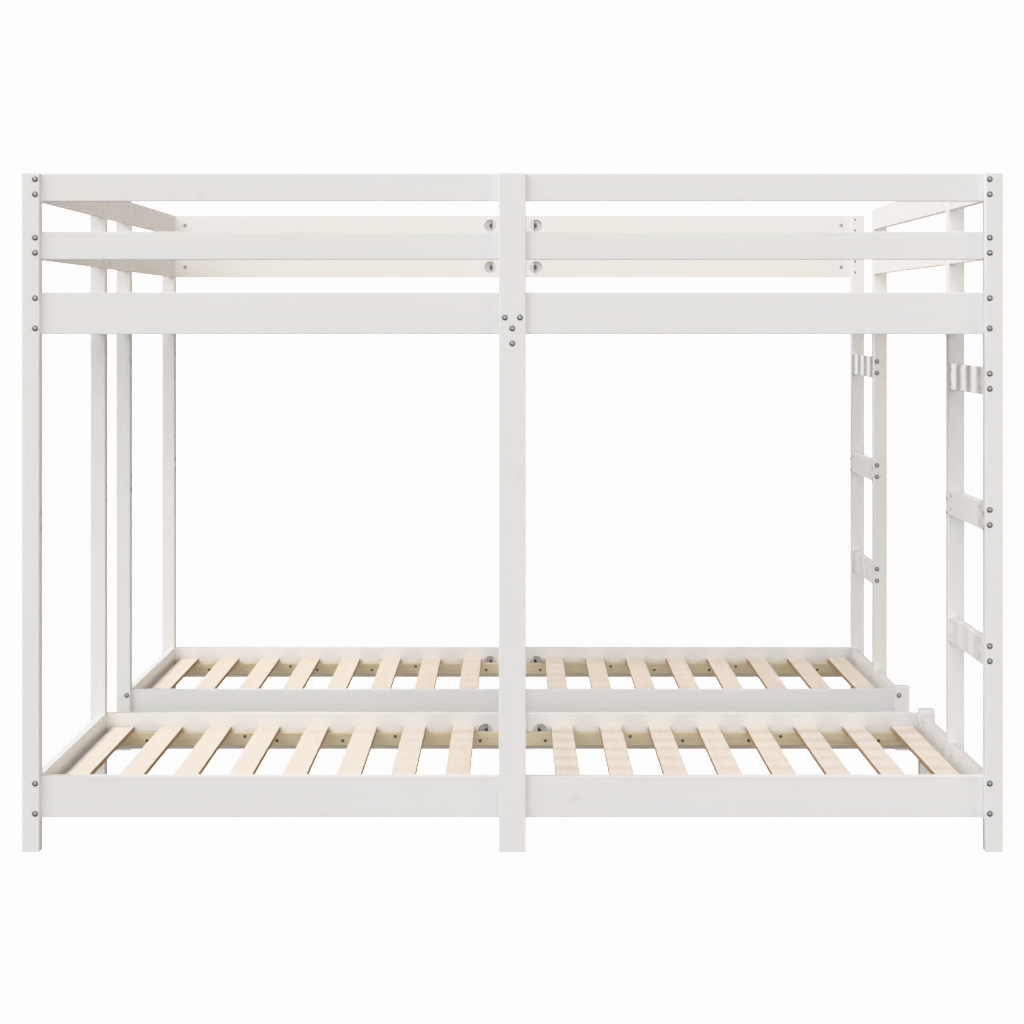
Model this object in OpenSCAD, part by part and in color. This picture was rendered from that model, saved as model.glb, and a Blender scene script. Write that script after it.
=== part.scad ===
// Bunk bed in whitewashed pine: two low single beds, one behind the other with a passage between
// them, under one square upper deck with guard rails, and two ladders built into the right end.
// Origin: centre of the footprint, on the floor. +X is the right end, -Y the front, +Z up.

/* [Overall size] */
// Width along the mattresses, over the posts
bed_w = 2080; // [1960:20:2180]
// Depth across both beds, over the posts
bed_d = 2080; // [2000:20:2180]
// Height of the full posts
bed_h = 1440; // [1400:10:1520]
// Depth of one low bed, from post face to post face
low_bed_d = 866; // [826:10:886]
// Clear width of each ladder
ladder_w = 402; // [342:10:442]

/* [Posts] */
// Side of a square post
post_w = 38; // [36:1:42]
// Width of the middle posts
middle_w = 58; // [52:2:66]
// Height of the short stubs
stub_h = 170; // [165:1:200]
// Height of the middle of the splice in a full post
splice_z = 702; // [690:1:705]
// Length of the splice's half lap
splice_len = 64; // [56:1:72]
// Radius of the rounded post edges
post_r = 3; // [1:0.5:4]

/* [Boards] */
// Thickness of rails, guards and rungs
board_t = 18; // [18:1:20]
// Height of the low rails and deck rails
rail_h = 90; // [84:1:100]
// Height of the guards and rungs
guard_h = 60; // [50:1:65]
// Radius of the rounded board edges
board_r = 2.5; // [1:0.5:3]
// Bottom of the low rails above the floor
low_rail_z = 69; // [50:1:80]
// Bottom of the deck rails
deck_rail_z = 1097; // [1080:1:1110]
// Bottom of the second guards
second_guard_z = 1256; // [1230:1:1270]
// Middle of the lowest rung
first_rung_z = 421; // [400:1:430]
// Distance from rung to rung
rung_pitch = 288.5; // [270:0.5:290]

/* [Slats] */
// Width of a slat
slat_w = 55; // [45:1:70]
// Thickness of a slat
slat_t = 12; // [10:1:18]
// Distance from slat to slat
slat_pitch = 119.9; // [90:0.1:125]
// Thickness of the strips that carry the slats
strip_t = 18; // [15:1:22]
// Height of the strips
strip_h = 34; // [28:1:40]
// Distance from a rail's bottom edge to its strip
strip_rise = 11; // [5:1:16]

/* [Fasteners] */
// Diameter of the frame bolts
bolt_d = 6; // [5:1:6]
// Diameter of their heads
head_d = 12; // [10:1:14]
// Diameter of the barrel nuts
barrel_d = 10; // [9:1:10]
// Distance of a barrel nut from the end of its rail
barrel_inset = 28; // [24:1:32]
// Diameter of the round pockets for the half-moon nuts
pocket_d = 36; // [32:1:38]

/* [Hidden] */

WHITE = "#e4e2de";
PINE = "#efe0c8";
STEEL = "#8c8c8e";

$fn = 48;
cut = 1; // how far a cutting shape runs past a face
rounding = 0.01; // two lengths closer than this are the same

// Sides of the bed
LEFT = -1;
RIGHT = 1;
inner_x = bed_w / 2 - post_w;
mid_x = middle_w / 2;

// Front faces of the rows of posts, front to rear, and of the two ladder posts
front_y = -bed_d / 2;
passage_front_y = front_y + low_bed_d - post_w;
passage_rear_y = -passage_front_y - post_w;
rear_y = bed_d / 2 - post_w;
front_ladder_y = front_y + post_w + ladder_w;
rear_ladder_y = -front_ladder_y - post_w;

// Lines of boards: low rail, deck rail, second guard, top guard, then the three rungs
LOW = 0;
DECK = 1;
SECOND = 2;
TOP = 3;
RUNGS = [4, 5, 6];
rung_z = [for (k = [0:2]) first_rung_z - guard_h / 2 + k * rung_pitch];
line_z = concat([low_rail_z, deck_rail_z, second_guard_z, bed_h - guard_h], rung_z);
line_h = [rail_h, rail_h, guard_h, guard_h, guard_h, guard_h, guard_h];
function line_mid(line) = line_z[line] + line_h[line] / 2;

// Boards of the ends, as stretches along Y between posts
to_ladder_front = [front_y + post_w, front_ladder_y];
to_ladder_rear = [rear_ladder_y + post_w, rear_y];
left_bays = [
    [front_y + post_w, passage_front_y],
    [passage_front_y + post_w, passage_rear_y],
    [passage_rear_y + post_w, rear_y]
];
right_low_bays = [
    to_ladder_front,
    [front_ladder_y + post_w, passage_front_y],
    [passage_rear_y + post_w, rear_ladder_y],
    to_ladder_rear
];
right_long_bay = [front_ladder_y + post_w, rear_ladder_y];
function left_spans(line) = line == LOW ? [left_bays[0], left_bays[2]]
    : line > TOP ? [] : left_bays;
function right_spans(line) = line == LOW ? right_low_bays
    : line == DECK ? [to_ladder_front, right_long_bay, to_ladder_rear]
    : line <= TOP ? [to_ladder_front, right_long_bay]
    : [to_ladder_front, to_ladder_rear];
function spans(side, line) = side == LEFT ? left_spans(line) : right_spans(line);

// Rows of posts on each side
left_rows = [front_y, passage_front_y, passage_rear_y, rear_y];
right_rows = [front_y, front_ladder_y, passage_front_y, passage_rear_y, rear_ladder_y, rear_y];
function rows(side) = side == LEFT ? left_rows : right_rows;
function same(a, b) = abs(a - b) < rounding;
function meets_front(side, line, y) = len([for (s = spans(side, line)) if (same(s[1], y)) s]) > 0;
function meets_rear(side, line, y) = len([for (s = spans(side, line)) if (same(s[0], y + post_w)) s]) > 0;
function meets(side, line, y) = meets_front(side, line, y) || meets_rear(side, line, y);

// Bolts sit in pairs, wider apart on tall rails except at the ladder posts
narrow_half = 16;
wide_half = 32;
function is_ladder(y) = same(y, front_ladder_y) || same(y, rear_ladder_y);
function pair_half(line, y) = line_h[line] == rail_h && !is_ladder(y) ? wide_half : narrow_half;
function pair_z(line, y) = [for (k = [-1, 1]) line_mid(line) + k * pair_half(line, y)];

// Bolt axes: end-rail bolts run along Y in the middle of the end rails, side-rail bolts along X
end_axis_x = inner_x + board_t / 2;
function side_axis_y(y) = y + post_w - board_t / 2;

bolt_r = bolt_d / 2;
bore_gap = 0.5; // room round a bolt or stud in its bore
bore_r = bolt_r + bore_gap;
head_h = 3.2;
dome_r = 10;
hex_af = 4;
hex_depth = 2;
thread_gap = 0.05;
thread_r = bolt_r + thread_gap;
rail_grip = 32; // how far a bolt reaches into a rail
bore_len = 44;
barrel_len = 13;
slide_gap = 0.1; // room round a nut in its hole
barrel_bore_r = barrel_d / 2 + slide_gap;
slot_w = 1.6; // screwdriver slot in the ends of a barrel nut
slot_depth = 1.2;
barrel_bore_depth = board_t / 2 + barrel_len / 2;
bolt_len = post_w + rail_grip;

// Joints at the middle posts
stud_r = 4;
stud_bore_r = stud_r + bore_gap;
pocket_inset = 39; // from the end of a rail to the middle of its pocket
pocket_x = mid_x + pocket_inset;
pocket_depth = 16;
moon_t = 13;
moon_gap = 0.3;
moon_r = pocket_d / 2 - moon_gap;
moon_offset = 7; // from the middle of the pocket to the flat side of its half-moon nut
moon_end_x = pocket_x - moon_offset;
nut_h = 6;
nut_af = 12;
stud_tail = 3; // how far a stud stands out of its nut
stud_end_x = moon_end_x + nut_h + stud_tail;

// Splices in the full posts
splice_half = 16;
sleeve_r = 4;
sleeve_bore_r = sleeve_r + slide_gap;
sleeve_bore_len = 16;
sleeve_len = 15;
sleeve_end = 1; // solid steel between a sleeve nut's head and its thread
splice_bolt_len = 30;

// Strips and their screws, as distances from the middle of the bed
screw_r = 2;
screw_head_r = 4;
screw_head_h = 2.5;
screw_len = 28;
screw_tip_len = 5;
screw_tip_r = 0.3;
cross_w = 4.4; // cross recess for the screwdriver, from end to end of one arm
cross_t = 1;
cross_depth = 1.6;
low_screw_rise = 13.5;
high_screw_rise = 24;
bed_screws_low = [80, 418, 580, 900];
bed_screws_high = [289, 659];
deck_screws_low = [100, 480, 900];
deck_screws_high = [300, 700];
strip_gap = 1;

// Slats
slats_per_half = floor((inner_x - mid_x - slat_w) / slat_pitch) + 1;
end_slat_inset = 41.2; // from the end boards to the middle of the first slat
bed_slat_x = [for (k = [0:slats_per_half - 1]) inner_x - end_slat_inset - k * slat_pitch];
deck_slat_count = floor((inner_x - slat_w / 2) / slat_pitch);
slat_gap = 1;

// Deck beam
strip_top = strip_rise + strip_h;
plate_z = deck_rail_z + strip_top - board_t;
upright_z = plate_z - guard_h;
plate_bolt_x = 16;

// ---- Shapes ----

// Rectangle with round corners, exact arcs
module soft_rect(w, h, r) {
    translate([r, 0]) square([w - 2 * r, h]);
    translate([0, r]) square([w, h - 2 * r]);
    for (x = [r, w - r], y = [r, h - r]) translate([x, y]) circle(r);
}

// Rectangle with only its two upper corners round
module arch_rect(w, h, r) {
    square([w, h - r]);
    translate([r, 0]) square([w - 2 * r, h]);
    for (x = [r, w - r]) translate([x, h - r]) circle(r);
}

// Board along X with its low near corner at y, z
module board_x(x0, x1, y, z, t, h) {
    translate([x0, y, z]) rotate([90, 0, 90]) linear_extrude(x1 - x0) soft_rect(t, h, board_r);
}

// Board along Y with its low near corner at x, z
module board_y(x, y0, y1, z, t, h) {
    translate([x, y1, z]) rotate([90, 0, 0]) linear_extrude(y1 - y0) soft_rect(t, h, board_r);
}

// Upright of w by post_w with round upright edges and a softened top
module upright(x, y, w, h) {
    translate([x, y, 0]) intersection() {
        linear_extrude(h) soft_rect(w, post_w, post_r);
        translate([0, post_w, 0]) rotate([90, 0, 0]) linear_extrude(post_w) arch_rect(w, h, post_r);
        rotate([90, 0, 90]) linear_extrude(w) arch_rect(post_w, h, post_r);
    }
}

// Draws the right-hand children, or their mirror image on the left
module on(side) {
    if (side == LEFT) mirror([1, 0, 0]) children();
    else children();
}

// Turn local +Z to run along +X, -X, +Y or -Y from a point
module towards_x(p, s) {
    translate(p) rotate([0, s * 90, 0]) children();
}
module towards_y(p, s) {
    translate(p) rotate([-s * 90, 0, 0]) children();
}

// ---- Posts ----

// Bores along Y for the end rails that meet this post, and the spare ones of the rear right post
module end_joint_bores(side, y) {
    for (line = [LOW:RUNGS[2]]) {
        spare = side == RIGHT && same(y, rear_y) && (line == SECOND || line == TOP);
        if (meets(side, line, y) || spare)
            for (z = pair_z(line, y))
                towards_y([end_axis_x, y - cut, z], 1) cylinder(r = bore_r, h = post_w + 2 * cut);
    }
}

// Bores along X for the side rails that meet this post
module side_joint_bores(y, lines) {
    for (line = lines)
        towards_x([inner_x - cut, side_axis_y(y), line_mid(line)], 1)
            cylinder(r = bore_r, h = post_w + 2 * cut);
}

module splice_bores(y) {
    for (k = [-1, 1]) {
        y_mid = y + post_w / 2;
        z = splice_z + k * splice_half;
        towards_x([inner_x - cut, y_mid, z], 1) cylinder(r = bore_r, h = post_w + 2 * cut);
        towards_x([bed_w / 2 + cut, y_mid, z], -1)
            cylinder(r = sleeve_bore_r, h = sleeve_bore_len + cut);
    }
}

function side_lines(y) = is_ladder(y) ? []
    : same(y, front_y) || same(y, rear_y) ? [LOW, DECK, SECOND, TOP] : [LOW];

// One half of a full post. The lower half keeps the inner side of the lap, the upper half the outer.
module post_half(side, y, upper) {
    lap_low = splice_z - splice_len / 2;
    lap_high = splice_z + splice_len / 2;
    half = post_w / 2 + cut;
    depth = post_w + 2 * cut;
    color(WHITE) on(side) difference() {
        upright(inner_x, y, post_w, bed_h);
        if (upper) {
            translate([inner_x - cut, y - cut, -cut]) cube([depth, depth, lap_low + cut]);
            translate([inner_x - cut, y - cut, lap_low - cut]) cube([half, depth, splice_len + cut]);
        } else {
            translate([inner_x - cut, y - cut, lap_high]) cube([depth, depth, bed_h]);
            translate([inner_x + post_w / 2, y - cut, lap_low]) cube([half, depth, splice_len + cut]);
        }
        end_joint_bores(side, y);
        side_joint_bores(y, side_lines(y));
        splice_bores(y);
    }
}

module stub(y) {
    color(WHITE) difference() {
        upright(inner_x, y, post_w, stub_h);
        end_joint_bores(RIGHT, y);
        side_joint_bores(y, [LOW]);
    }
}

module stud_bores(y, lines) {
    for (line = lines)
        towards_x([-mid_x - cut, side_axis_y(y), line_mid(line)], 1)
            cylinder(r = stud_bore_r, h = middle_w + 2 * cut);
}

// Points on the outer faces of the middle posts where the beam's bolts enter
function plate_points(y, out) = [for (k = [-1, 1]) [k * plate_bolt_x, y + (out > 0 ? post_w : 0),
    plate_z + board_t / 2]];
function upright_points(y, out) = [for (k = [-1, 1]) [0, y + (out > 0 ? post_w : 0),
    upright_z + guard_h / 2 + k * narrow_half]];

module middle_post(y, out) {
    color(WHITE) difference() {
        upright(-mid_x, y, middle_w, bed_h);
        stud_bores(y, [LOW, DECK, SECOND, TOP]);
        for (p = concat(plate_points(y, out), upright_points(y, out)))
            translate([0, out * cut, 0]) towards_y(p, -out) cylinder(r = bore_r, h = post_w + 2 * cut);
    }
}

module middle_stub(y) {
    color(WHITE) difference() {
        upright(-mid_x, y, middle_w, stub_h);
        stud_bores(y, [LOW]);
    }
}

// ---- Rails that run along X ----

// Side of a row's rail that faces its mattress: +1 is the rear face, -1 the front face
function mattress_side(y) = same(y, front_y) || same(y, passage_rear_y) ? 1 : -1;
function rail_face_y(y) = mattress_side(y) > 0 ? y + post_w : y + post_w - board_t;
function screw_points(low, high) = concat(
    [for (d = low) [d, low_screw_rise]],
    [for (d = high) [d, high_screw_rise]]);

// Hole sunk from the mattress side of a side rail
module sunk(x, y, z, r, depth) {
    s = mattress_side(y);
    towards_y([x, rail_face_y(y) + s * cut, z], -s) cylinder(r = r, h = depth + cut);
}

// Countersunk screw with a cross recess and a point
module wood_screw() {
    shank_len = screw_len - screw_tip_len;
    difference() {
        union() {
            cylinder(r1 = screw_head_r, r2 = screw_r, h = screw_head_h);
            cylinder(r = screw_r, h = shank_len);
            translate([0, 0, shank_len]) cylinder(r1 = screw_r, r2 = screw_tip_r, h = screw_tip_len);
        }
        for (turn = [0, 90])
            rotate([0, 0, turn]) translate([-cross_w / 2, -cross_t / 2, -cut])
                cube([cross_w, cross_t, cross_depth + cut]);
    }
}

module screw_hole() {
    cylinder(r1 = screw_head_r + thread_gap, r2 = screw_r + thread_gap, h = screw_head_h);
    cylinder(r = screw_r + thread_gap, h = screw_len + thread_gap);
}

// Puts a screw or its hole at each screw place of a low strip, on the right half
module on_bed_strip(y) {
    s = mattress_side(y);
    for (p = screw_points(bed_screws_low, bed_screws_high))
        towards_y([p[0], rail_face_y(y) + s * strip_t, low_rail_z + strip_rise + p[1]], -s) children();
}

module side_rails(y, line) {
    z = line_mid(line);
    y_axis = side_axis_y(y);
    color(WHITE) for (side = [LEFT, RIGHT]) on(side) difference() {
        board_x(mid_x, inner_x, y + post_w - board_t, line_z[line], board_t, line_h[line]);
        towards_x([inner_x + cut, y_axis, z], -1) cylinder(r = bore_r, h = bore_len + cut);
        sunk(inner_x - barrel_inset, y, z, barrel_bore_r, barrel_bore_depth);
        towards_x([mid_x - cut, y_axis, z], 1) cylinder(r = stud_bore_r, h = pocket_inset);
        sunk(pocket_x, y, z, pocket_d / 2, pocket_depth);
        if (line == LOW) on_bed_strip(y) screw_hole();
    }
}

// ---- Rails that run along Y ----

// Bore into the end of an end rail and the cross hole for its barrel nut; s is the way into the rail
module end_bores(y_end, s, heights) {
    for (z = heights) {
        towards_y([end_axis_x, y_end - s * cut, z], s) cylinder(r = bore_r, h = bore_len + cut);
        towards_x([inner_x - cut, y_end + s * barrel_inset, z], 1)
            cylinder(r = barrel_bore_r, h = barrel_bore_depth + cut);
    }
}

// Puts a screw or its hole at each screw place of the deck strips, on the right side
module on_deck_strip() {
    for (p = screw_points(deck_screws_low, deck_screws_high), k = [-1, 1])
        towards_x([inner_x - strip_t, k * p[0], deck_rail_z + strip_rise + p[1]], 1) children();
}

module end_rails(side, line, keep) {
    color(WHITE) for (s = keep) on(side) difference() {
        board_y(inner_x, s[0], s[1], line_z[line], board_t, line_h[line]);
        end_bores(s[0], 1, pair_z(line, s[0] - post_w));
        end_bores(s[1], -1, pair_z(line, s[1]));
        if (line == DECK) on_deck_strip() screw_hole();
    }
}

module ladder_rungs(stretch) {
    for (line = RUNGS) end_rails(RIGHT, line, [stretch]);
}

// ---- Slats and what carries them ----

module bed_slats(y) {
    y0 = y + post_w + slat_gap;
    y1 = y + low_bed_d - board_t - slat_gap;
    z = low_rail_z + strip_top;
    color(PINE) for (side = [LEFT, RIGHT], x = bed_slat_x)
        on(side) board_y(x - slat_w / 2, y0, y1, z, slat_w, slat_t);
}

module deck_slats() {
    z = deck_rail_z + strip_top;
    color(PINE) for (side = [LEFT, RIGHT], k = [-deck_slat_count:deck_slat_count])
        on(side) board_x(2 * slat_gap, inner_x - slat_gap, k * slat_pitch - slat_w / 2, z, slat_w, slat_t);
}

module bed_slat_strips() {
    color(PINE) for (side = [LEFT, RIGHT], y = left_rows) on(side) difference() {
        board_x(mid_x + strip_gap, inner_x - strip_gap,
            rail_face_y(y) - (mattress_side(y) < 0 ? strip_t : 0),
            low_rail_z + strip_rise, strip_t, strip_h);
        on_bed_strip(y) screw_hole();
    }
}

module deck_slat_strips() {
    y1 = rear_y - strip_gap;
    color(PINE) for (side = [LEFT, RIGHT], s = [[-y1, -strip_gap], [strip_gap, y1]])
        on(side) difference() {
            board_y(inner_x - strip_t, s[0], s[1], deck_rail_z + strip_rise, strip_t, strip_h);
            on_deck_strip() screw_hole();
        }
}

// The beam runs from the rear face of the front middle post to the front face of the rear one
beam_end_y = [front_y + post_w, rear_y];

module deck_beam_plate() {
    color(WHITE) difference() {
        board_y(-mid_x, beam_end_y[0], beam_end_y[1], plate_z, middle_w, board_t);
        for (e = [0, 1], k = [-1, 1]) {
            s = 1 - 2 * e;
            z = plate_z + board_t / 2;
            towards_y([k * plate_bolt_x, beam_end_y[e] - s * cut, z], s)
                cylinder(r = bore_r, h = bore_len + cut);
            translate([k * plate_bolt_x, beam_end_y[e] + s * barrel_inset, plate_z - cut])
                cylinder(r = barrel_bore_r, h = barrel_bore_depth + cut);
        }
    }
}

module deck_beam_upright() {
    color(WHITE) difference() {
        board_y(-board_t / 2, beam_end_y[0], beam_end_y[1], upright_z, board_t, guard_h);
        for (e = [0, 1], k = [-1, 1]) {
            s = 1 - 2 * e;
            z = upright_z + guard_h / 2 + k * narrow_half;
            towards_y([0, beam_end_y[e] - s * cut, z], s) cylinder(r = bore_r, h = bore_len + cut);
            towards_x([-board_t / 2 - cut, beam_end_y[e] + s * barrel_inset, z], 1)
                cylinder(r = barrel_bore_r, h = barrel_bore_depth + cut);
        }
    }
}

// ---- Fasteners ----

// Button head with a hex socket, under the origin and facing -Z
module button_head() {
    difference() {
        intersection() {
            translate([0, 0, -head_h]) cylinder(d = head_d, h = head_h);
            translate([0, 0, dome_r - head_h]) sphere(dome_r);
        }
        translate([0, 0, -head_h - cut]) cylinder(d = hex_af / cos(30), h = hex_depth + cut, $fn = 6);
    }
}

// Bolt with its shank along +Z
module bolt(len) {
    button_head();
    cylinder(r = bolt_r, h = len);
}

// Barrel nut along Z, centred, with its cross thread along X and a slot along X in both ends
module barrel_nut() {
    difference() {
        translate([0, 0, -barrel_len / 2]) cylinder(d = barrel_d, h = barrel_len);
        towards_x([-barrel_d, 0, 0], 1) cylinder(r = thread_r, h = 2 * barrel_d);
        for (z = [-barrel_len / 2 - cut, barrel_len / 2 - slot_depth])
            translate([-barrel_d, -slot_w / 2, z]) cube([2 * barrel_d, slot_w, slot_depth + cut]);
    }
}

// End-rail bolts go in from the free face of a post that has a rail on one side only
module end_rail_bolts() {
    color(STEEL) for (side = [LEFT, RIGHT], line = [LOW:RUNGS[2]], y = rows(side)) {
        front = meets_front(side, line, y);
        rear = meets_rear(side, line, y);
        if (front != rear)
            for (z = pair_z(line, y))
                on(side) towards_y([end_axis_x, rear ? y : y + post_w, z], rear ? 1 : -1) bolt(bolt_len);
    }
}

// Where rails meet a post on both sides, a threaded stud runs from nut to nut
module end_joint_studs() {
    color(STEEL) for (side = [LEFT, RIGHT], line = [LOW:RUNGS[2]], y = rows(side))
        if (meets_front(side, line, y) && meets_rear(side, line, y))
            for (z = pair_z(line, y))
                on(side) towards_y([end_axis_x, y - rail_grip, z], 1)
                    cylinder(r = bolt_r, h = post_w + 2 * rail_grip);
}

module side_rail_bolts() {
    color(STEEL) for (side = [LEFT, RIGHT], y = left_rows, line = side_lines(y))
        on(side) towards_x([bed_w / 2, side_axis_y(y), line_mid(line)], -1) bolt(bolt_len);
}

module beam_bolts() {
    color(STEEL) {
        for (p = concat(plate_points(front_y, -1), upright_points(front_y, -1)))
            towards_y(p, 1) bolt(bolt_len);
        for (p = concat(plate_points(rear_y, 1), upright_points(rear_y, 1)))
            towards_y(p, -1) bolt(bolt_len);
    }
}

// Barrel nut lying along X for a bolt that runs along Y
module cross_nut() {
    rotate([90, 0, 0]) rotate([0, 90, 0]) barrel_nut();
}

module end_rail_nuts(side, line, s) {
    for (z = pair_z(line, s[0] - post_w))
        on(side) translate([end_axis_x, s[0] + barrel_inset, z]) cross_nut();
    for (z = pair_z(line, s[1]))
        on(side) translate([end_axis_x, s[1] - barrel_inset, z]) cross_nut();
}

module side_rail_nuts(side, y) {
    for (line = side_lines(y))
        on(side) translate([inner_x - barrel_inset, side_axis_y(y), line_mid(line)])
            rotate([90, 0, 0]) barrel_nut();
}

module beam_nuts(y) {
    for (k = [-1, 1]) {
        translate([k * plate_bolt_x, y, plate_z + board_t / 2]) rotate([0, 0, 90]) barrel_nut();
        translate([0, y, upright_z + guard_h / 2 + k * narrow_half]) cross_nut();
    }
}

module barrel_nuts() {
    color(STEEL) {
        for (side = [LEFT, RIGHT], line = [LOW:RUNGS[2]], s = spans(side, line))
            end_rail_nuts(side, line, s);
        for (side = [LEFT, RIGHT], y = left_rows) side_rail_nuts(side, y);
        for (y = [beam_end_y[0] + barrel_inset, beam_end_y[1] - barrel_inset]) beam_nuts(y);
    }
}

// The joints at a middle post, one on each line of side rails
middle_joints = concat(
    [for (y = [front_y, rear_y], line = [LOW, DECK, SECOND, TOP]) [side_axis_y(y), line_mid(line)]],
    [for (y = [passage_front_y, passage_rear_y]) [side_axis_y(y), line_mid(LOW)]]);

module middle_studs() {
    color(STEEL) for (j = middle_joints)
        towards_x([-stud_end_x, j[0], j[1]], 1) cylinder(r = stud_r, h = 2 * stud_end_x);
}

// Half-moon nut: the side of the pocket's disc that is nearest the post
module half_moon_nuts() {
    color(STEEL) for (j = middle_joints, side = [LEFT, RIGHT]) on(side) difference() {
        intersection() {
            towards_y([pocket_x, j[0] - moon_t / 2, j[1]], 1) cylinder(r = moon_r, h = moon_t);
            translate([moon_end_x - pocket_d, j[0] - moon_t, j[1] - pocket_d])
                cube([pocket_d, 2 * moon_t, 2 * pocket_d]);
        }
        towards_x([mid_x, j[0], j[1]], 1) cylinder(r = stud_r + thread_gap, h = pocket_d * 2);
    }
}

module middle_hex_nuts() {
    color(STEEL) for (j = middle_joints, side = [LEFT, RIGHT]) on(side)
        towards_x([moon_end_x, j[0], j[1]], 1) difference() {
            cylinder(d = nut_af / cos(30), h = nut_h, $fn = 6);
            translate([0, 0, -cut]) cylinder(r = stud_r + thread_gap, h = nut_h + 2 * cut);
        }
}

function splice_rows(side) = [for (y = rows(side)) if (side == LEFT || !(same(y, passage_front_y)
    || same(y, passage_rear_y))) y];

module splice_bolts() {
    color(STEEL) for (side = [LEFT, RIGHT], y = splice_rows(side), k = [-1, 1])
        on(side) towards_x([inner_x, y + post_w / 2, splice_z + k * splice_half], 1)
            bolt(splice_bolt_len);
}

module splice_sleeve_nuts() {
    color(STEEL) for (side = [LEFT, RIGHT], y = splice_rows(side), k = [-1, 1])
        on(side) towards_x([bed_w / 2, y + post_w / 2, splice_z + k * splice_half], -1) {
            button_head();
            difference() {
                cylinder(r = sleeve_r, h = sleeve_len);
                translate([0, 0, sleeve_end]) cylinder(r = thread_r, h = sleeve_len);
            }
        }
}

module strip_screws() {
    color(STEEL) for (side = [LEFT, RIGHT]) on(side) {
        for (y = left_rows) on_bed_strip(y) wood_screw();
        on_deck_strip() wood_screw();
    }
}

// ---- Nodes ----

post_half(LEFT, front_y, false);  // front_left_post_lower
post_half(LEFT, front_y, true);  // front_left_post_upper
post_half(LEFT, passage_front_y, false);  // passage_front_left_post_lower
post_half(LEFT, passage_front_y, true);  // passage_front_left_post_upper
post_half(LEFT, passage_rear_y, false);  // passage_rear_left_post_lower
post_half(LEFT, passage_rear_y, true);  // passage_rear_left_post_upper
post_half(LEFT, rear_y, false);  // rear_left_post_lower
post_half(LEFT, rear_y, true);  // rear_left_post_upper
post_half(RIGHT, front_y, false);  // front_right_post_lower
post_half(RIGHT, front_y, true);  // front_right_post_upper
post_half(RIGHT, front_ladder_y, false);  // front_ladder_post_lower
post_half(RIGHT, front_ladder_y, true);  // front_ladder_post_upper
post_half(RIGHT, rear_ladder_y, false);  // rear_ladder_post_lower
post_half(RIGHT, rear_ladder_y, true);  // rear_ladder_post_upper
post_half(RIGHT, rear_y, false);  // rear_right_post_lower
post_half(RIGHT, rear_y, true);  // rear_right_post_upper
middle_post(front_y, -1);  // front_middle_post
middle_post(rear_y, 1);  // rear_middle_post
stub(passage_front_y);  // passage_front_right_stub
stub(passage_rear_y);  // passage_rear_right_stub
middle_stub(passage_front_y);  // passage_front_middle_stub
middle_stub(passage_rear_y);  // passage_rear_middle_stub
side_rails(front_y, LOW);  // front_low_rails
side_rails(passage_front_y, LOW);  // passage_front_rails
side_rails(passage_rear_y, LOW);  // passage_rear_rails
side_rails(rear_y, LOW);  // rear_low_rails
side_rails(front_y, DECK);  // front_deck_rails
side_rails(rear_y, DECK);  // rear_deck_rails
side_rails(front_y, SECOND);  // front_second_guards
side_rails(rear_y, SECOND);  // rear_second_guards
side_rails(front_y, TOP);  // front_top_guards
side_rails(rear_y, TOP);  // rear_top_guards
end_rails(LEFT, LOW, left_spans(LOW));  // left_low_end_boards
end_rails(LEFT, DECK, left_spans(DECK));  // left_deck_rails
end_rails(LEFT, SECOND, left_spans(SECOND));  // left_second_guards
end_rails(LEFT, TOP, left_spans(TOP));  // left_top_guards
end_rails(RIGHT, LOW, right_spans(LOW));  // right_low_end_boards
end_rails(RIGHT, DECK, right_spans(DECK));  // right_deck_rails
end_rails(RIGHT, SECOND, right_spans(SECOND));  // right_second_guards
end_rails(RIGHT, TOP, right_spans(TOP));  // right_top_guards
ladder_rungs(to_ladder_front);  // front_ladder_rungs
ladder_rungs(to_ladder_rear);  // rear_ladder_rungs
bed_slats(front_y);  // front_bed_slats
bed_slats(passage_rear_y);  // rear_bed_slats
deck_slats();
bed_slat_strips();
deck_slat_strips();
deck_beam_plate();
deck_beam_upright();
end_rail_bolts();
side_rail_bolts();
beam_bolts();
barrel_nuts();
end_joint_studs();
middle_studs();
half_moon_nuts();
middle_hex_nuts();
splice_bolts();
splice_sleeve_nuts();
strip_screws();
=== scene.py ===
"""Looks of the bunk bed: whitewashed and natural pine, zinc-plated fittings, studio and camera."""
import math
import random

import bpy
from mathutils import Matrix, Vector


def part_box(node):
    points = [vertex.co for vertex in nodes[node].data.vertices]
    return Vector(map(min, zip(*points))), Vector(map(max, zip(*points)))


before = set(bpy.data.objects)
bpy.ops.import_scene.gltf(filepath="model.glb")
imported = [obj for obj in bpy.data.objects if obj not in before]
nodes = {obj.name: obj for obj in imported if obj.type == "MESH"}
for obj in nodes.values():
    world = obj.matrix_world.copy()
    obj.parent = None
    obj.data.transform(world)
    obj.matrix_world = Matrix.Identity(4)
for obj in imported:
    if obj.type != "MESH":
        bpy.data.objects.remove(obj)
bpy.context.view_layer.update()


# ---------------------------------------------------------------- pieces and their own coordinates

def solids(mesh):
    """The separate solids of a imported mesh, as lists of vertex numbers."""
    first_at = {}
    leader = [first_at.setdefault(tuple(round(c, 5) for c in v.co), v.index) for v in mesh.vertices]
    parent = list(range(len(leader)))

    def top(i):
        while parent[i] != i:
            parent[i] = parent[parent[i]]
            i = parent[i]
        return i

    for edge in mesh.edges:
        a, b = (top(leader[v]) for v in edge.vertices)
        parent[a] = b
    groups = {}
    for i, lead in enumerate(leader):
        groups.setdefault(top(lead), []).append(i)
    return list(groups.values())


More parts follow.
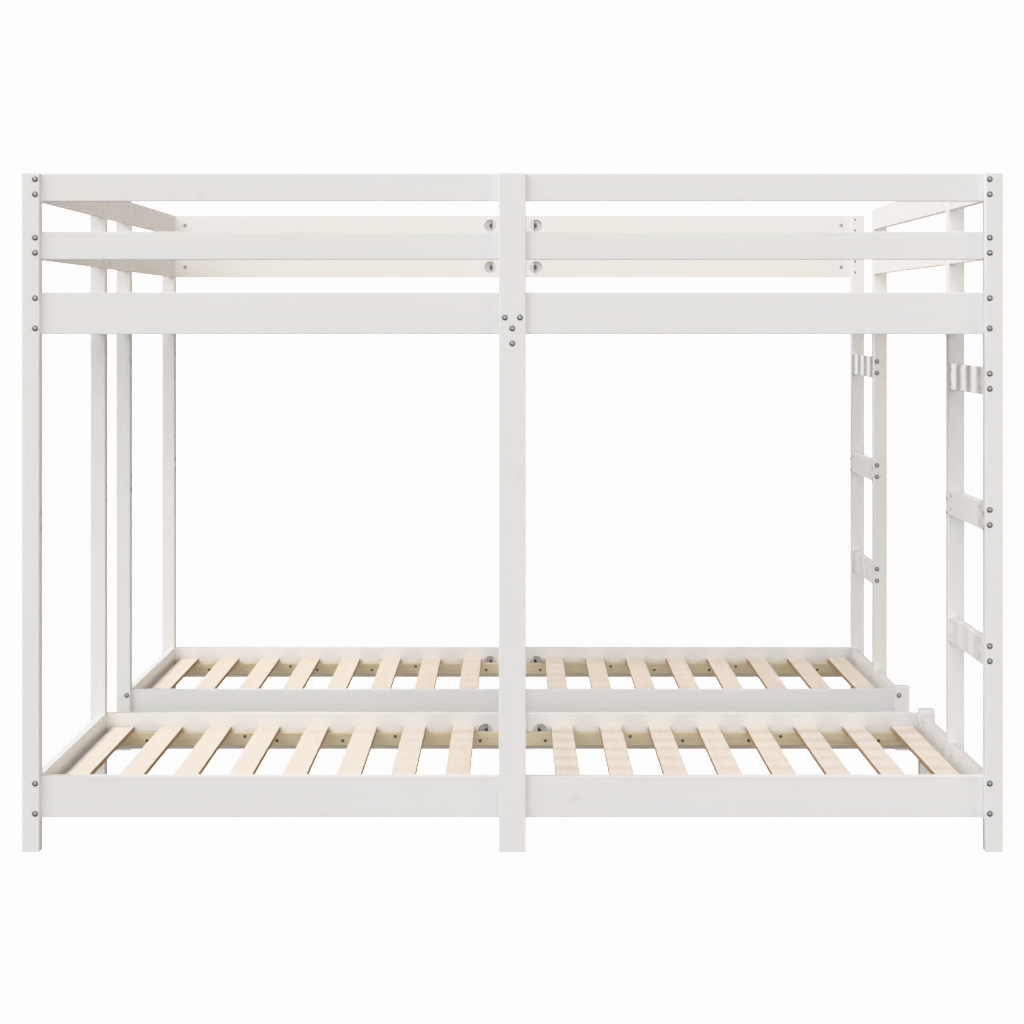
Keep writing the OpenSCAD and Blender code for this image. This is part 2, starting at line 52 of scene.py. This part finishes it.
def lay_out_solids(obj, seeds):
    """Gives each solid its own coordinates, along, across and through it, its half size and a number."""
    mesh = obj.data
    places = [0.0] * (3 * len(mesh.vertices))
    halves = [0.0] * (3 * len(mesh.vertices))
    numbers = [0.0] * len(mesh.vertices)
    for members in solids(mesh):
        points = [mesh.vertices[i].co for i in members]
        low = Vector(min(p[k] for p in points) for k in range(3))
        high = Vector(max(p[k] for p in points) for k in range(3))
        middle = (low + high) / 2
        order = sorted(range(3), key=lambda k: low[k] - high[k])
        number = seeds.random()
        for i, p in zip(members, points):
            places[3 * i:3 * i + 3] = [p[k] - middle[k] for k in order]
            halves[3 * i:3 * i + 3] = [(high[k] - low[k]) / 2 for k in order]
            numbers[i] = number
    mesh.attributes.new("own_place", "FLOAT_VECTOR", "POINT").data.foreach_set("vector", places)
    mesh.attributes.new("own_half", "FLOAT_VECTOR", "POINT").data.foreach_set("vector", halves)
    mesh.attributes.new("own_number", "FLOAT", "POINT").data.foreach_set("value", numbers)


# ---------------------------------------------------------------- materials

class Tree:
    """Short calls that add nodes to a node tree."""

    def __init__(self, node_tree):
        self.nodes = node_tree.nodes
        self.links = node_tree.links

    def node(self, kind, **settings):
        made = self.nodes.new("ShaderNode" + kind)
        for key, value in settings.items():
            setattr(made, key, value)
        return made

    def plug(self, socket, value):
        if isinstance(value, bpy.types.NodeSocket):
            self.links.new(value, socket)
        else:
            socket.default_value = value

    def attribute(self, name, output):
        return self.node("Attribute", attribute_name=name).outputs[output]

    def math(self, operation, *values, clamp=False):
        made = self.node("Math", operation=operation, use_clamp=clamp)
        for socket, value in zip(made.inputs, values):
            self.plug(socket, value)
        return made.outputs[0]

    def vector(self, operation, *values):
        made = self.node("VectorMath", operation=operation)
        for socket, value in zip(made.inputs, values):
            self.plug(socket, value)
        return made.outputs["Value" if operation in ("LENGTH", "DOT_PRODUCT") else "Vector"]

    def combine(self, x, y, z):
        made = self.node("CombineXYZ")
        for socket, value in zip(made.inputs, (x, y, z)):
            self.plug(socket, value)
        return made.outputs[0]

    def split(self, vector):
        made = self.node("SeparateXYZ")
        self.plug(made.inputs[0], vector)
        return list(made.outputs)

    def noise(self, where, detail=2.0, roughness=0.5):
        made = self.node("TexNoise")
        self.plug(made.inputs["Vector"], where)
        made.inputs["Scale"].default_value = 1.0
        made.inputs["Detail"].default_value = detail
        made.inputs["Roughness"].default_value = roughness
        return made.outputs["Fac"]

    def spread(self, value, low, high, to_low=0.0, to_high=1.0):
        made = self.node("MapRange", interpolation_type="SMOOTHSTEP")
        for socket, number in zip(made.inputs, (value, low, high, to_low, to_high)):
            self.plug(socket, number)
        return made.outputs[0]

    def mix(self, factor, a, b):
        made = self.node("Mix", data_type="RGBA")
        for name, value in (("Factor", factor), ("A", a), ("B", b)):
            # Each name is on several sockets, one for each type of data
            kind = "VALUE" if name == "Factor" else "RGBA"
            socket = next(s for s in made.inputs if s.name == name and s.type == kind)
            self.plug(socket, value)
        return next(s for s in made.outputs if s.type == "RGBA")

    def bump(self, height, distance, strength=1.0, below=None):
        made = self.node("Bump")
        made.inputs["Strength"].default_value = strength
        made.inputs["Distance"].default_value = distance
        self.plug(made.inputs["Height"], height)
        if below is not None:
            self.plug(made.inputs["Normal"], below)
        return made.outputs["Normal"]


class Surface(Tree):
    """A new material with its shader."""

    def __init__(self, name):
        self.material = bpy.data.materials.new(name)
        self.material.use_nodes = True
        super().__init__(self.material.node_tree)
        self.shader = self.nodes["Principled BSDF"]


class Grain:
    """The fields that every pine material uses, in a board's own coordinates."""

    def __init__(self, t, ring_gap, knot_share):
        place = t.attribute("own_place", "Vector")
        number = t.attribute("own_number", "Fac")
        away = t.vector("MULTIPLY", t.combine(number, number, number), (71.3, 13.7, 5.9))
        own = t.vector("ADD", place, away)
        across, through = t.split(place)[1:]

        def stretched(lengthways, sideways):
            return t.vector("MULTIPLY", own, (lengthways, sideways, sideways))

        # Three random values for each board
        white = t.node("TexWhiteNoise", noise_dimensions="1D")
        t.plug(white.inputs["W"], number)
        side, depth, self.tone = t.split(white.outputs["Color"])

        # Growth rings lie round a pith that runs outside the board and wanders along it
        wander = t.noise(stretched(1.1, 0.5), detail=1.0)
        pith_across = t.math("ADD", t.math("MULTIPLY_ADD", side, 0.07, -0.035),
                             t.math("MULTIPLY_ADD", wander, 0.05, -0.025))
        pith_depth = t.math("ADD", t.math("MULTIPLY_ADD", depth, 0.05, 0.018),
                            t.math("MULTIPLY", wander, 0.03))
        radius = t.vector("LENGTH", t.combine(
            0.0, t.math("SUBTRACT", across, pith_across), t.math("ADD", through, pith_depth)))

        # Knots: some cells of a lattice hold one, and the rings bend round it
        cells = t.node("TexVoronoi")
        t.plug(cells.inputs["Vector"], t.vector("MULTIPLY", own, (6.0, 7.0, 7.0)))
        cells.inputs["Scale"].default_value = 1.0
        luck = t.node("SeparateColor")
        t.plug(luck.inputs[0], cells.outputs["Color"])
        kept = t.math("LESS_THAN", luck.outputs[0], knot_share)
        from_knot = cells.outputs["Distance"]
        self.knot = t.math("MULTIPLY", t.spread(from_knot, 0.03, 0.075, 1.0, 0.0), kept)
        self.halo = t.math("MULTIPLY", t.spread(from_knot, 0.05, 0.30, 1.0, 0.0), kept)

        waver = t.noise(stretched(4.0, 45.0), detail=3.0)
        turn = t.math("MULTIPLY_ADD", radius, 1.0 / ring_gap, t.math("MULTIPLY", waver, 1.1))
        ring = t.math("FRACT", t.math("MULTIPLY_ADD", self.halo, 2.4, turn))
        self.late = t.math("MULTIPLY", t.spread(ring, 0.35, 0.88), t.spread(ring, 0.90, 1.0, 1.0, 0.0))

        self.fibre = t.noise(stretched(14.0, 900.0), detail=3.0, roughness=0.6)
        self.streak = t.noise(stretched(0.8, 55.0), detail=3.0)
        self.cloud = t.noise(stretched(2.2, 7.0), detail=2.0)
        self.fleck = t.spread(t.noise(stretched(35.0, 420.0), detail=1.0), 0.66, 0.78)

        # Depth below each pair of faces; the middle one of the three is the distance to the nearest arris
        gaps = t.split(t.vector("SUBTRACT", t.attribute("own_half", "Vector"), t.vector("ABSOLUTE", place)))
        wide = t.math("MAXIMUM", gaps[0], gaps[1])
        narrow = t.math("MINIMUM", gaps[0], gaps[1])
        self.arris = t.math("MAXIMUM", narrow, t.math("MINIMUM", wide, gaps[2]))
        self.end_face = t.spread(gaps[0], 0.0002, 0.001, 1.0, 0.0)
        self.side_face = t.spread(gaps[1], 0.0003, 0.0018, 1.0, 0.0)


def whitewashed_pine():
    """Pine under a thin white wash: rings, knots and fibres only just show through it."""
    t = Surface("whitewashed_pine")
    g = Grain(t, ring_gap=0.0062, knot_share=0.30)
    early = (0.82, 0.64, 0.47, 1)
    late = (0.60, 0.41, 0.27, 1)
    dark_knot = (0.36, 0.22, 0.13, 1)
    wood = t.mix(g.knot, t.mix(g.late, early, late), dark_knot)
    wash = t.mix(t.spread(g.streak, 0.36, 0.66), (0.816, 0.824, 0.826, 1), (0.828, 0.822, 0.820, 1))
    wash = t.mix(t.spread(g.cloud, 0.40, 0.68, 0.0, 0.3), wash, (0.796, 0.788, 0.784, 1))
    worn = t.math("MULTIPLY", t.spread(g.arris, 0.0008, 0.0030, 1.0, 0.0), t.spread(g.cloud, 0.42, 0.62))
    thin = t.math("MULTIPLY_ADD", g.late, 0.024, t.math("MULTIPLY", g.knot, 0.05))
    thin = t.math("MULTIPLY_ADD", g.fibre, 0.030, thin)
    thin = t.math("MULTIPLY_ADD", g.halo, 0.010, thin)
    thin = t.math("MULTIPLY_ADD", worn, 0.05, thin)
    thin = t.math("MULTIPLY_ADD", g.end_face, 0.12, thin)
    thin = t.math("MULTIPLY_ADD", g.fleck, 0.022, thin, clamp=True)
    t.plug(t.shader.inputs["Base Color"], t.mix(thin, wash, wood))
    rough = t.math("MULTIPLY_ADD", g.fibre, 0.16, 0.44)
    t.plug(t.shader.inputs["Roughness"], t.math("MULTIPLY_ADD", g.late, -0.07, rough))
    grain_bump = t.bump(t.math("MULTIPLY_ADD", g.late, 0.6, g.fibre), 0.00008)
    t.plug(t.shader.inputs["Normal"], t.bump(g.cloud, 0.0006, 0.4, grain_bump))
    t.shader.inputs["Specular IOR Level"].default_value = 0.35
    return t.material


def natural_pine(name, early, late, pale, sawn_and_shaded):
    """Bare planed pine: early wood, late wood, pale streaks, few knots, and darker side and end faces that
    are partly saw-cut wood and partly painted shade.
    """
    t = Surface(name)
    g = Grain(t, ring_gap=0.0052, knot_share=0.14)
    wood = t.mix(g.late, (*early, 1), (*late, 1))
    wood = t.mix(t.spread(g.streak, 0.35, 0.68), wood, (*pale, 1))
    wood = t.mix(t.math("MULTIPLY", g.tone, 0.25), wood, (*late, 1))
    wood = t.mix(t.math("MULTIPLY", g.halo, 0.15), wood, (0.76, 0.56, 0.36, 1))
    wood = t.mix(t.math("MULTIPLY", g.knot, 0.55), wood, (0.42, 0.25, 0.13, 1))
    wood = t.mix(t.math("MULTIPLY", g.fleck, 0.14), wood, (0.60, 0.42, 0.26, 1))
    wood = t.mix(t.math("MULTIPLY", g.fibre, 0.08), wood, (0.66, 0.50, 0.33, 1))
    # Partly painted shade: side and end faces take the darker colour, real saw-cut wood that also stands in
    # for the shade on faces turned from the light
    edge = t.math("MAXIMUM", g.side_face, g.end_face)
    wood = t.mix(t.math("MULTIPLY", edge, 0.90), wood, (*sawn_and_shaded, 1))
    t.plug(t.shader.inputs["Base Color"], wood)
    rough = t.math("MULTIPLY_ADD", g.fibre, 0.18, 0.56)
    t.plug(t.shader.inputs["Roughness"], t.math("MULTIPLY_ADD", g.late, -0.08, rough))
    t.plug(t.shader.inputs["Normal"], t.bump(t.math("MULTIPLY_ADD", g.late, 0.8, g.fibre), 0.00018))
    t.shader.inputs["Specular IOR Level"].default_value = 0.25
    return t.material


def plated_steel(name, middle, shaded_rim):
    """Plated steel with a cloudy coat: painted shade keeps the outer part of a head dark and a painted
    highlight pales its middle round the socket.
    """
    t = Surface(name)
    place = t.attribute("own_place", "Vector")
    across, through = t.split(place)[1:]
    from_axis = t.vector("LENGTH", t.combine(0.0, across, through))
    cloud = t.noise(t.vector("MULTIPLY", place, (420.0, 420.0, 420.0)), detail=3.0)
    marks_per_metre = 9000.0
    rings = t.math("MULTIPLY", from_axis, marks_per_metre)
    turned = t.noise(t.combine(0.0, rings, t.attribute("own_number", "Fac")))
    tint = t.mix(t.spread(cloud, 0.35, 0.70), (shaded_rim, shaded_rim, shaded_rim, 1), (1.3 * shaded_rim, 1.3 * shaded_rim, 1.3 * shaded_rim, 1))
    # Painted highlight and painted shade: near a head's axis the colour pales to the middle level, further
    # out it stays at the dark rim level
    tint = t.mix(t.spread(from_axis, 0.0026, 0.0044, 1.0, 0.0), tint, (middle, middle, middle, 1))
    t.plug(t.shader.inputs["Base Color"], tint)
    t.plug(t.shader.inputs["Roughness"], t.math("MULTIPLY_ADD", cloud, 0.20, 0.40))
    t.plug(t.shader.inputs["Normal"], t.bump(turned, 0.00003))
    t.shader.inputs["Metallic"].default_value = 1.0
    return t.material


def painted_light_zinc():
    """Zinc on the pressed and turned nuts and the splice bolts, paler and duller than on the other bolts:
    painted light, so that nuts deep in their pockets and bolt heads in shade look lit.
    """
    t = Surface("painted_light_zinc")
    place = t.attribute("own_place", "Vector")
    cloud = t.noise(t.vector("MULTIPLY", place, (300.0, 300.0, 300.0)), detail=3.0)
    t.plug(t.shader.inputs["Base Color"],
           t.mix(t.spread(cloud, 0.35, 0.70), (0.58, 0.58, 0.59, 1), (0.68, 0.68, 0.68, 1)))
    t.plug(t.shader.inputs["Roughness"], t.math("MULTIPLY_ADD", cloud, 0.25, 0.35))
    t.plug(t.shader.inputs["Normal"], t.bump(cloud, 0.00005))
    t.shader.inputs["Metallic"].default_value = 0.4
    return t.material


# ---------------------------------------------------------------- studio and camera

def direction(azimuth_deg, height_deg):
    """Unit vector towards a light: azimuth 0 is the front, 90 the right end."""
    azimuth = math.radians(azimuth_deg)
    height = math.radians(height_deg)
    level = math.cos(height)
    return Vector((math.sin(azimuth) * level, -math.cos(azimuth) * level, math.sin(height)))


def add(name, data):
    """A new object in the scene."""
    made = bpy.data.objects.new(name, data)
    bpy.context.scene.collection.objects.link(made)
    return made


def aim(made, towards):
    """Turns a light so that it shines from that side."""
    made.rotation_mode = "QUATERNION"
    made.rotation_quaternion = towards.to_track_quat("Z", "Y")


def white_to_camera(t, glow):
    """Bright enough for pure white as the camera sees it, and only glow as a source of light."""
    pure_white = 4.0
    level = t.node("MapRange")
    t.plug(level.inputs["Value"], t.node("LightPath").outputs["Is Camera Ray"])
    t.plug(level.inputs["To Min"], glow)
    t.plug(level.inputs["To Max"], pure_white)
    return level.outputs[0]


def floor(glow):
    """A plain white floor that throws only a little light back up."""
    mesh = bpy.data.meshes.new("floor")
    half = 30.0
    corners = [(-half, -half, 0), (half, -half, 0), (half, half, 0), (-half, half, 0)]
    mesh.from_pydata(corners, [], [(0, 1, 2, 3)])
    made = add("floor", mesh)
    gap_under_feet = 0.0005
    made.location.z = -gap_under_feet
    t = Surface("pale_floor")
    shine = t.node("Emission")
    t.plug(shine.inputs["Strength"], white_to_camera(t, glow))
    t.plug(t.nodes["Material Output"].inputs["Surface"], shine.outputs[0])
    t.nodes.remove(t.shader)
    mesh.materials.append(t.material)


def surroundings(lobes):
    """White all round, lit towards each lobe, which is an azimuth, a height and a strength."""
    world = bpy.data.worlds.new("studio")
    bpy.context.scene.world = world
    world.use_nodes = True
    t = Tree(world.node_tree)
    towards = t.node("TexCoord").outputs["Generated"]
    sharpness = 4.0
    glow = 0.0
    for azimuth_deg, height_deg, strength in lobes:
        along = t.vector("DOT_PRODUCT", towards, direction(azimuth_deg, height_deg))
        lobe = t.math("POWER", t.math("MAXIMUM", along, 0.0), sharpness)
        glow = t.math("MULTIPLY_ADD", lobe, strength, glow)
    background = t.nodes["Background"]
    background.inputs["Color"].default_value = (1, 1, 1, 1)
    t.plug(background.inputs["Strength"], white_to_camera(t, glow))


def soft_sun(name, azimuth_deg, height_deg, strength, spread_deg, tint=(1, 1, 1)):
    """A far round light, as wide as spread_deg looks from the bed."""
    lamp = bpy.data.lights.new(name, "SUN")
    lamp.energy = strength
    lamp.color = tint
    lamp.angle = math.radians(spread_deg)
    aim(add(name, lamp), direction(azimuth_deg, height_deg))


def soft_box(name, azimuth_deg, height_deg, strength, wide_deg, tall_deg):
    """A far oblong light, as wide and as tall as it looks from the bed."""
    distance = 25.0
    lamp = bpy.data.lights.new(name, "AREA")
    lamp.shape = "RECTANGLE"
    lamp.size = 2 * distance * math.tan(math.radians(wide_deg / 2))
    lamp.size_y = 2 * distance * math.tan(math.radians(tall_deg / 2))
    lamp.energy = strength * math.pi * distance ** 2
    made = add(name, lamp)
    towards = direction(azimuth_deg, height_deg)
    made.location = towards * distance
    aim(made, towards)


def camera():
    """A level view from straight in front, at the height of the deck."""
    lens = bpy.data.cameras.new("front_view")
    lens.lens = 85.27
    lens.sensor_width = 36.0
    lens.shift_x = -0.0031
    lens.shift_y = -0.1852
    lens.clip_end = 200.0
    made = add("front_view", lens)
    sideways = 0.0059
    distance = 5.137
    eye_height = 1.1227
    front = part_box("front_right_post_lower")[0].y
    made.location = (sideways, front - distance, eye_height)
    made.rotation_euler = (math.radians(90), 0, 0)
    bpy.context.scene.camera = made


# ---------------------------------------------------------------- the scene

# Darker colour for side and end faces: partly real saw-cut wood, partly painted shade on faces turned from
# the light
sawn_and_shaded_edge = (0.42, 0.26, 0.13)

# A finish for each material slot, and others for the nodes that look different
finish_of = {
    "whitewashed_pine": whitewashed_pine(),
    "natural_pine": natural_pine(
        "natural_pine", early=(0.93, 0.86, 0.775), late=(0.91, 0.79, 0.655),
        pale=(0.94, 0.875, 0.80), sawn_and_shaded=sawn_and_shaded_edge),
    "zinc_steel": plated_steel("zinc_steel", middle=0.55, shaded_rim=0.16),
}
# A darker, khaki copy of the pine for the slat strips: painted shade, for strips that sit in shade under
# the slats
shaded_strip_pine = natural_pine(
    "shaded_strip_pine", early=(0.77, 0.67, 0.48), late=(0.69, 0.56, 0.37),
    pale=(0.77, 0.67, 0.49), sawn_and_shaded=(0.64, 0.54, 0.36))
dark_steel = plated_steel("dark_steel", middle=0.22, shaded_rim=0.16)
zinc_with_painted_light = painted_light_zinc()
special = {
    # A darker, more orange copy of the pine for the rear bed's slats: painted shade, for the smaller share
    # of light they get behind the front bed
    "rear_bed_slats": natural_pine(
        "rear_shaded_pine", early=(0.91, 0.82, 0.72), late=(0.885, 0.745, 0.595),
        pale=(0.92, 0.835, 0.745), sawn_and_shaded=sawn_and_shaded_edge),
    "bed_slat_strips": shaded_strip_pine,
    "deck_slat_strips": shaded_strip_pine,
    "deck_slats": natural_pine(
        "deck_pine", early=(0.80, 0.72, 0.62), late=(0.74, 0.63, 0.50),
        pale=(0.81, 0.74, 0.65), sawn_and_shaded=(0.42, 0.27, 0.15)),
    # Painted light: paler zinc for nuts in pockets and bolt heads in shade
    "half_moon_nuts": zinc_with_painted_light,
    "splice_bolts": zinc_with_painted_light,
    "strip_screws": dark_steel,
}
seeds = random.Random(11)
for name in sorted(nodes):
    mesh = nodes[name].data
    slot = mesh.materials[0].name.split(".")[0]
    mesh.materials[0] = special.get(name, finish_of[slot])
    lay_out_solids(nodes[name], seeds)

camera()
floor(glow=0.43)
surroundings([(0, 15, 0.82), (-45, 15, 0.62), (45, 15, 0.36), (-90, 15, 0.35), (180, 15, 1.2)])
soft_box("key", -90, 50, strength=2.85, wide_deg=11, tall_deg=18)
soft_sun("top", 0, 85, strength=0.4, spread_deg=2)
soft_sun("front", 8, 8, strength=0.34, spread_deg=14)
soft_sun("front_left", -30, 37, strength=0.88, spread_deg=50)
soft_sun("right", 60, 12, strength=0.67, spread_deg=25, tint=(1.0, 0.86, 0.68))
bpy.context.scene.view_settings.view_transform = "Khronos PBR Neutral"
